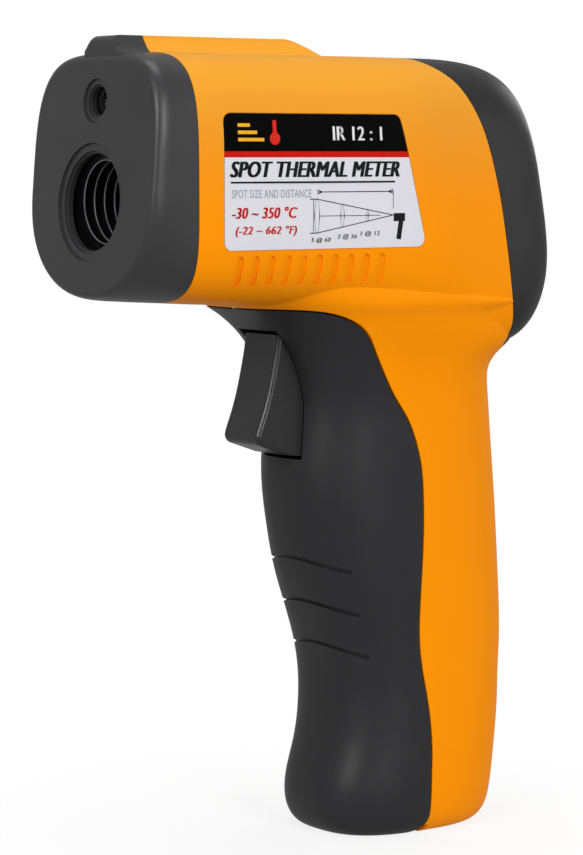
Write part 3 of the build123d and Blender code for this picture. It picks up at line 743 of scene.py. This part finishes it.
# ---- labels -----------------------------------------------------------------------------------
@dataclass
class Label:
    """Printed label on one flank: film, generic title, range and spot diagram."""

    side: Side
    lift: float = 0.03 * MM
    hairline: float = 0.16 * MM
    title_height: float = 2.9 * MM
    title_z: float = 127.3 * MM
    title_width: float = 38.2 * MM
    rule_z: float = 126.4 * MM
    heading_z: float = 134.0 * MM
    bulb_x: float = 11.2 * MM
    span_z: float = 124.6 * MM
    arrow_half: float = 0.4 * MM
    arrow_length: float = 1.2 * MM
    slant_margin: float = 4.6 * MM

    def __post_init__(self) -> None:
        """Finds the film on this flank."""
        self.node = f"{self.side.name.lower()}_label"
        self.low, self.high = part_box(self.node)
        obj = frame["nodes"][self.node]
        verts = [v.co.copy() for v in obj.data.vertices]
        faces = [tuple(p.vertices) for p in obj.data.polygons]
        self.surface = BVHTree.FromPolygons(verts, faces)

    def lay(self, mesh: bmesh.types.BMesh) -> bmesh.types.BMesh:
        """Wraps a drawing onto the film.

        Args:
            mesh: the drawing, its X from the film's reading-left edge and its Y as the height.

        Returns:
            The same mesh, in the model's frame.
        """
        s = self.side.value
        left = self.low[0] if s < 0 else self.high[0] - self.slant_margin
        for vert in mesh.verts:
            x, z = left - s * vert.co.x, vert.co.y
            hit = self.surface.ray_cast(Vector((x, s * 0.05, z)), Vector((0, -s, 0)))[0]
            y = hit.y if hit else s * abs(self.low[1] if s < 0 else self.high[1])
            vert.co = Vector((x, y + s * self.lift, z))
        return mesh

    def print_layer(self, name: str, mesh: bmesh.types.BMesh, finish: Ink) -> None:
        """Adds one ink layer.

        Args:
            name: what the layer holds.
            mesh: its drawing.
            finish: its ink.
        """
        piece(f"{self.node}_{name}", self.lay(mesh), finish, Body.ROOT, smooth=False)

    def title(self) -> None:
        """Generic title with a rule under it."""
        mesh = bmesh.new()
        words(mesh, "SPOT THERMAL METER", (1.3 * MM, self.title_z), self.title_height,
              self.title_width, 0.24, 0.23 * MM)
        bar(mesh, (1.3 * MM, self.rule_z), (38.6 * MM, self.rule_z), 0.34 * MM)
        self.print_layer("title", mesh, INK_BLACK)

    def heading(self) -> None:
        """Plain marks in the dark header: a bulb-and-stem sign and the spot ratio."""
        mesh = bmesh.new()
        words(mesh, "IR 12 : 1", (24.4 * MM, self.heading_z), 2.6 * MM, 11.2 * MM, 0.0, 0.10 * MM)
        self.print_layer("heading", mesh, INK_WHITE)
        sign = bmesh.new()
        for k in range(3):
            z = (134.1 + 1.3 * k) * MM
            reach = (3.4 - 0.9 * k) * MM
            bar(sign, (3.0 * MM, z), (3.0 * MM + reach * 1.7, z), 0.62 * MM)
        self.print_layer("sign", sign, INK_AMBER)
        bulb = bmesh.new()
        bmesh.ops.create_circle(bulb, cap_ends=True, segments=28, radius=1.15 * MM,
                                matrix=Matrix.Translation((self.bulb_x, 134.3 * MM, 0)))
        bar(bulb, (self.bulb_x, 134.6 * MM), (self.bulb_x, 137.6 * MM), 0.85 * MM)
        self.print_layer("bulb", bulb, INK_RED)

    def ranges(self) -> None:
        """Measuring range in red."""
        mesh = bmesh.new()
        words(mesh, "-30 ~ 350 °C", (1.6 * MM, 119.9 * MM), 2.1 * MM, 14.4 * MM, 0.2, 0.13 * MM)
        words(mesh, "(-22 ~ 662 °F)", (2.4 * MM, 116.6 * MM), 1.95 * MM, 13.6 * MM, 0.2, 0.10 * MM)
        self.print_layer("ranges", mesh, INK_RED)

    def caption(self) -> None:
        """Small pale line under the title."""
        mesh = bmesh.new()
        words(mesh, "SPOT SIZE AND DISTANCE", (1.5 * MM, 123.6 * MM), 1.5 * MM, 17.8 * MM)
        self.print_layer("caption", mesh, INK_GREY)

    def diagram(self) -> None:
        """Cone of view from a small instrument, with spot circles along it."""
        mesh = bmesh.new()
        line = self.hairline
        tip, wide = (38.2 * MM, 120.2 * MM), 3.1 * MM
        start = 20.6 * MM
        for s in (-1, 1):
            bar(mesh, tip, (start, tip[1] + s * wide), line)
            bar(mesh, (start - 1.6 * MM, tip[1] + s * wide), (start, tip[1] + s * wide), line)
        bar(mesh, (start + 0.5 * MM, tip[1]), (tip[0] - 3 * MM, tip[1]), line * 0.7)
        for share in (0.0, 0.33, 0.66):
            x = start + (tip[0] - start) * share
            tall = wide * (1 - share)
            ring = bmesh.ops.create_circle(mesh, segments=32, radius=1.0,
                                           matrix=Matrix.Translation((x, tip[1], 0))
                                           @ Matrix.Diagonal((0.16 * tall, tall, 1, 1)))
            edges = list({e for v in ring["verts"] for e in v.link_edges})
            outer = bmesh.ops.extrude_edge_only(mesh, edges=edges)["geom"]
            rim = [v for v in outer if isinstance(v, bmesh.types.BMVert)]
            for vert in rim:
                away = Vector((vert.co.x - x, vert.co.y - tip[1], 0))
                vert.co += away.normalized() * line
        bar(mesh, (start - 0.8 * MM, tip[1] - wide), (start - 0.8 * MM, tip[1] + wide), line * 0.8)
        bar(mesh, (start, self.span_z), (tip[0], self.span_z), line)
        for x, way in ((start, 1), (tip[0], -1)):
            point = (x + way * self.arrow_length, self.span_z)
            bar(mesh, (x, self.span_z - self.arrow_half), point, line)
            bar(mesh, (x, self.span_z + self.arrow_half), point, line)
        bar(mesh, (tip[0], self.span_z), (tip[0], tip[1] + 1.2 * MM), line * 0.7)
        for share, text in ((0.02, "5 @ 60"), (0.36, "3 @ 36"), (0.66, "1 @ 12")):
            x = start + (tip[0] - start) * share - 1.6 * MM
            z = (115.2 + share * 1.6) * MM
            words(mesh, text, (x, z), 1.05 * MM, 4.4 * MM, 0.15, 0.03 * MM)
        self.print_layer("diagram", mesh, INK_BLACK)
        gun = bmesh.new()
        bar(gun, (38.3 * MM, 119.8 * MM), (41.0 * MM, 119.8 * MM), 1.5 * MM)
        bar(gun, (40.1 * MM, 119.4 * MM), (39.5 * MM, 115.7 * MM), 1.1 * MM)
        self.print_layer("instrument", gun, INK_BLACK)

    def build(self) -> None:
        """Dresses the film and prints on it."""
        dress(self.node, LABEL_FILM)
        self.title()
        self.heading()
        self.ranges()
        self.caption()
        self.diagram()


# ---- display ----------------------------------------------------------------------------------
@dataclass
class Display:
    """Window, panel with its segments, and the two keys with their legends."""

    digit_height: float = 8.6 * MM
    digit_width: float = 4.3 * MM
    stroke: float = 0.85 * MM
    reading: str = "236"
    small_reading: str = "0095"
    small_foot: float = -6.7 * MM
    beam_r: float = 1.9 * MM
    beam_line: float = 0.3 * MM

    SEGMENTS = {"0": "abcdef", "1": "bc", "2": "abged", "3": "abgcd", "4": "fgbc", "5": "afgcd",
                "6": "afgedc", "7": "abc", "8": "abcdefg", "9": "abcdfg"}

    def __post_init__(self) -> None:
        """Finds the display face's own axes from the keys' travel."""
        axis = Vector(joint("left_key_press")["axis"])
        self.outward = -axis.normalized()
        self.across = Vector((0, 1, 0))
        self.up = self.outward.cross(self.across).normalized()
        if self.up.z < 0:
            self.up = -self.up

    def face_matrix(self, centre: Vector) -> Matrix:
        """Places a drawing on a plane parallel to the display face.

        Args:
            centre: where the drawing's origin goes.

        Returns:
            The placing matrix.
        """
        turn = Matrix((self.across, self.up, self.outward)).transposed().to_4x4()
        return Matrix.Translation(centre) @ turn

    def front_of(self, node: str, proud: float) -> Vector:
        """Middle of a node's outward face.

        Args:
            node: the node.
            proud: how far in front of the face.

        Returns:
            The point.
        """
        verts = frame["nodes"][node].data.vertices
        reach = [v.co.dot(self.outward) for v in verts]
        rise = [v.co.dot(self.up) for v in verts]
        side = [v.co.y for v in verts]
        return (self.outward * (max(reach) + proud) + self.up * ((max(rise) + min(rise)) / 2)
                + self.across * ((max(side) + min(side)) / 2))

    def digit(self, mesh: bmesh.types.BMesh, figure: str, x: float, y: float, size: float = 1.0) -> None:
        """Adds one seven-segment figure.

        Args:
            mesh: the drawing.
            figure: the figure.
            x: its left edge.
            y: its foot.
            size: scale of the figure.
        """
        w, h, s = self.digit_width * size, self.digit_height * size, self.stroke * size
        gap = s * 0.62
        left, right, waist = x + gap, x + w - gap, y + h / 2
        ends = {
            "a": ((left, y + h), (right, y + h)),
            "b": ((x + w, waist + gap), (x + w, y + h - gap)),
            "c": ((x + w, y + gap), (x + w, waist - gap)),
            "d": ((left, y), (right, y)),
            "e": ((x, y + gap), (x, waist - gap)),
            "f": ((x, waist + gap), (x, y + h - gap)),
            "g": ((left, waist), (right, waist)),
        }
        for name in self.SEGMENTS[figure]:
            bar(mesh, *ends[name], s)

    def segments(self) -> None:
        """Reading, unit and small figures on the panel."""
        mesh = bmesh.new()
        step = self.digit_width + 1.9 * MM
        start = -8.4 * MM
        for k, figure in enumerate(self.reading):
            shift = 0.9 * MM if k == 2 else 0.0
            self.digit(mesh, figure, start + step * k + shift, -2.6 * MM)
        last, foot = start + step * 2, -2.9 * MM
        bar(mesh, (last - 0.95 * MM, foot), (last - 0.1 * MM, foot), self.stroke)
        for k, figure in enumerate(self.small_reading):
            self.digit(mesh, figure, start + 2.5 * MM * k, self.small_foot, 0.27)
        words(mesh, "°C", (7.6 * MM, 3.7 * MM), 2.2 * MM, 2.4 * MM)
        words(mesh, "MAX", (2.6 * MM, self.small_foot), 1.9 * MM, 4.8 * MM)
        mesh.transform(self.face_matrix(self.front_of("lcd_panel", 0.02 * MM)))
        piece("lcd_segments", mesh, SEGMENT_INK, Body.ROOT, smooth=False)

    def legends(self) -> None:
        """Generic signs on the two key caps."""
        unit = bmesh.new()
        words(unit, "°C/°F", (-2.5 * MM, -0.8 * MM), 1.7 * MM, 5.0 * MM)
        unit.transform(self.face_matrix(self.front_of("left_key", 0.015 * MM)))
        piece("unit_legend", unit, INK_WHITE, Body.LEFT_KEY, smooth=False)
        beam = bmesh.new()
        turns = [2 * pi * k / 3 + pi / 2 for k in range(4)]
        corners = [(self.beam_r * cos(t), self.beam_r * sin(t) - self.beam_line) for t in turns]
        for start, end in zip(corners, corners[1:]):
            bar(beam, start, end, self.beam_line)
        bar(beam, (-0.9 * MM, -0.4 * MM), (0.9 * MM, -0.4 * MM), self.beam_line)
        beam.transform(self.face_matrix(self.front_of("right_key", 0.015 * MM)))
        piece("beam_legend", beam, INK_WHITE, Body.RIGHT_KEY, smooth=False)

    def build(self) -> None:
        """Dresses the display and adds its printed and switched marks."""
        dress("lcd_window", CLEAR)
        dress("lcd_panel", LCD)
        dress("left_key", KEY_RUBBER)
        dress("right_key", KEY_RUBBER)
        self.segments()
        self.legends()


# ---- trigger spring -----------------------------------------------------------------------------
@dataclass
class TriggerSpring:
    """Compression spring behind the trigger, closed at both ends."""

    wire_r: float = 0.28 * MM
    coil_r: float = 1.9 * MM
    turns: float = 5.0
    keep: float = 0.78

    def build(self) -> None:
        """Winds the spring by spinning its wire section along the coil's axis."""
        low, high = (Vector(c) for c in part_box("trigger_spring"))
        axis_z = (low.z + high.z) / 2
        length = high.x - low.x - 2 * self.wire_r
        mesh = bmesh.new()
        ring = bmesh.ops.create_circle(mesh, cap_ends=True, segments=10, radius=self.wire_r)
        place = Matrix.Translation((low.x + self.wire_r, 0, axis_z + self.coil_r))
        bmesh.ops.transform(mesh, matrix=place @ Matrix.Rotation(pi / 2, 4, "X"), verts=ring["verts"])
        steps = int(self.turns * 28)
        bmesh.ops.spin(mesh, geom=mesh.faces[:] + mesh.edges[:] + mesh.verts[:],
                       cent=(low.x, 0, axis_z), axis=(1, 0, 0), dvec=(length / steps, 0, 0),
                       angle=2 * pi * self.turns, steps=steps, use_merge=False)
        coil = piece("trigger_coil", mesh, STEEL, Body.ROOT)
        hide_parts("trigger_spring")
        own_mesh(coil)


# ---- studio -------------------------------------------------------------------------------------
@dataclass(frozen=True)
class Studio:
    """Pale floor, soft lights and the camera."""

    azimuth: float = 36.0
    elevation: float = 5.2
    distance: float = 575.7 * MM
    target: tuple[float, float, float] = (-4.02 * MM, 0.0, 79.25 * MM)
    lens: float = 126.3
    sensor: float = 36.0
    ambient: float = 0.42
    floor_radius: float = 6.0
    fade_from: float = 15 * MM
    fade_to: float = 100 * MM
    near_glow: float = 0.80

    def camera(self) -> None:
        """Sets the camera, looking from the front left."""
        data = bpy.data.cameras.new("camera")
        data.sensor_fit = "VERTICAL"
        data.sensor_height = self.sensor
        data.lens = self.lens
        data.clip_start = 0.01
        obj = bpy.data.objects.new("camera", data)
        a, e = radians(self.azimuth), radians(self.elevation)
        back = Vector((-sin(a) * cos(e), -cos(a) * cos(e), sin(e)))
        obj.location = Vector(self.target) + back * self.distance
        obj.rotation_euler = back.to_track_quat("Z", "Y").to_euler()
        bpy.context.scene.collection.objects.link(obj)
        bpy.context.scene.camera = obj

    def floor(self) -> None:
        """Adds a wide pale floor."""
        mesh = bmesh.new()
        bmesh.ops.create_circle(mesh, cap_ends=True, segments=96, radius=self.floor_radius)
        data = bpy.data.meshes.new("floor")
        mesh.to_mesh(data)
        mesh.free()
        obj = bpy.data.objects.new("floor", data)
        data.materials.append(self.floor_finish())
        bpy.context.scene.collection.objects.link(obj)

    def floor_finish(self) -> bpy.types.Material:
        """Pale matt floor near the instrument that fades into an even white further out."""
        g = Graph("pale_floor")
        across, along = g.axis("X"), g.axis("Y")
        reach = g.math("SQRT", g.math("ADD", g.math("MULTIPLY", across, across),
                                      g.math("MULTIPLY", along, along)))
        fade = g.node("MapRange", interpolation_type="SMOOTHSTEP")
        g.feed(fade.inputs["Value"], reach)
        g.feed(fade.inputs["From Min"], self.fade_from)
        g.feed(fade.inputs["From Max"], self.fade_to)
        g.feed(fade.inputs["To Min"], self.near_glow)
        tone = g.mix(g.spread(g.noise(3.0), 0.0, 1.0), (0.90, 0.90, 0.90), (0.92, 0.92, 0.92))
        matt = g.node("BsdfPrincipled")
        g.feed(matt.inputs["Base Color"], tone)
        matt.inputs["Roughness"].default_value = 0.7
        glow = g.node("Emission")
        g.feed(glow.inputs["Color"], (1.0, 1.0, 1.0))
        seen = g.node("LightPath").outputs["Is Camera Ray"]
        g.feed(glow.inputs["Strength"], g.math("ADD", g.math("MULTIPLY", seen, 1.0 - self.ambient),
                                               self.ambient))
        blend = g.node("MixShader")
        g.feed(blend.inputs[0], fade.outputs["Result"])
        g.tree.links.new(matt.outputs[0], blend.inputs[1])
        g.tree.links.new(glow.outputs[0], blend.inputs[2])
        g.tree.links.new(blend.outputs[0], g.out.inputs[0])
        return g.material

    def lamp(self, name: str, place: tuple[float, float, float], size: float,
             power: float) -> None:
        """Adds a soft square light aimed at the instrument.

        Args:
            name: the light's name.
            place: where it stands.
            size: its width.
            power: its power in watts.
        """
        data = bpy.data.lights.new(name, "AREA")
        data.size = size
        data.energy = power
        obj = bpy.data.objects.new(name, data)
        obj.location = place
        aim = Vector(place) - Vector(self.target)
        obj.rotation_euler = aim.to_track_quat("Z", "Y").to_euler()
        bpy.context.scene.collection.objects.link(obj)

    def surroundings(self) -> None:
        """White backdrop to the eye, and a softer even light on the instrument."""
        world = bpy.data.worlds.new("studio")
        world.use_nodes = True
        tree = world.node_tree
        seen = tree.nodes.new("ShaderNodeLightPath").outputs["Is Camera Ray"]
        span = tree.nodes.new("ShaderNodeMapRange")
        span.inputs["To Min"].default_value = self.ambient
        span.inputs["To Max"].default_value = 1.0
        tree.links.new(seen, span.inputs["Value"])
        back = tree.nodes["Background"]
        back.inputs["Color"].default_value = (1.0, 1.0, 1.0, 1.0)
        tree.links.new(span.outputs["Result"], back.inputs["Strength"])
        bpy.context.scene.world = world

    def build(self) -> None:
        """Sets up the whole studio."""
        self.camera()
        self.floor()
        self.surroundings()
        self.lamp("key", (-1.10, -0.40, 0.62), 0.50, 7.6)
        self.lamp("side", (-0.05, -1.15, 0.50), 0.45, 6.2)
        self.lamp("top", (0.00, 0.10, 1.10), 0.60, 3.2)
        self.lamp("rear", (1.00, 0.35, 0.40), 0.30, 1.2)
        self.lamp("flank", (0.95, -0.70, 0.30), 0.35, 1.3)
        bpy.context.scene.view_settings.view_transform = "Standard"


def main() -> None:
    """Builds every sub-assembly in order."""
    logging.basicConfig(level=logging.INFO, format="%(name)s: %(message)s")
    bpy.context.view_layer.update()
    Studio().build()
    Casing().dress()
    Optics().dress()
    Electronics().dress()
    for side in Side:
        Label(side).build()
    Display().build()
    TriggerSpring().build()
    LOG.info("all pieces made")


if __name__ == "__main__":
    main()
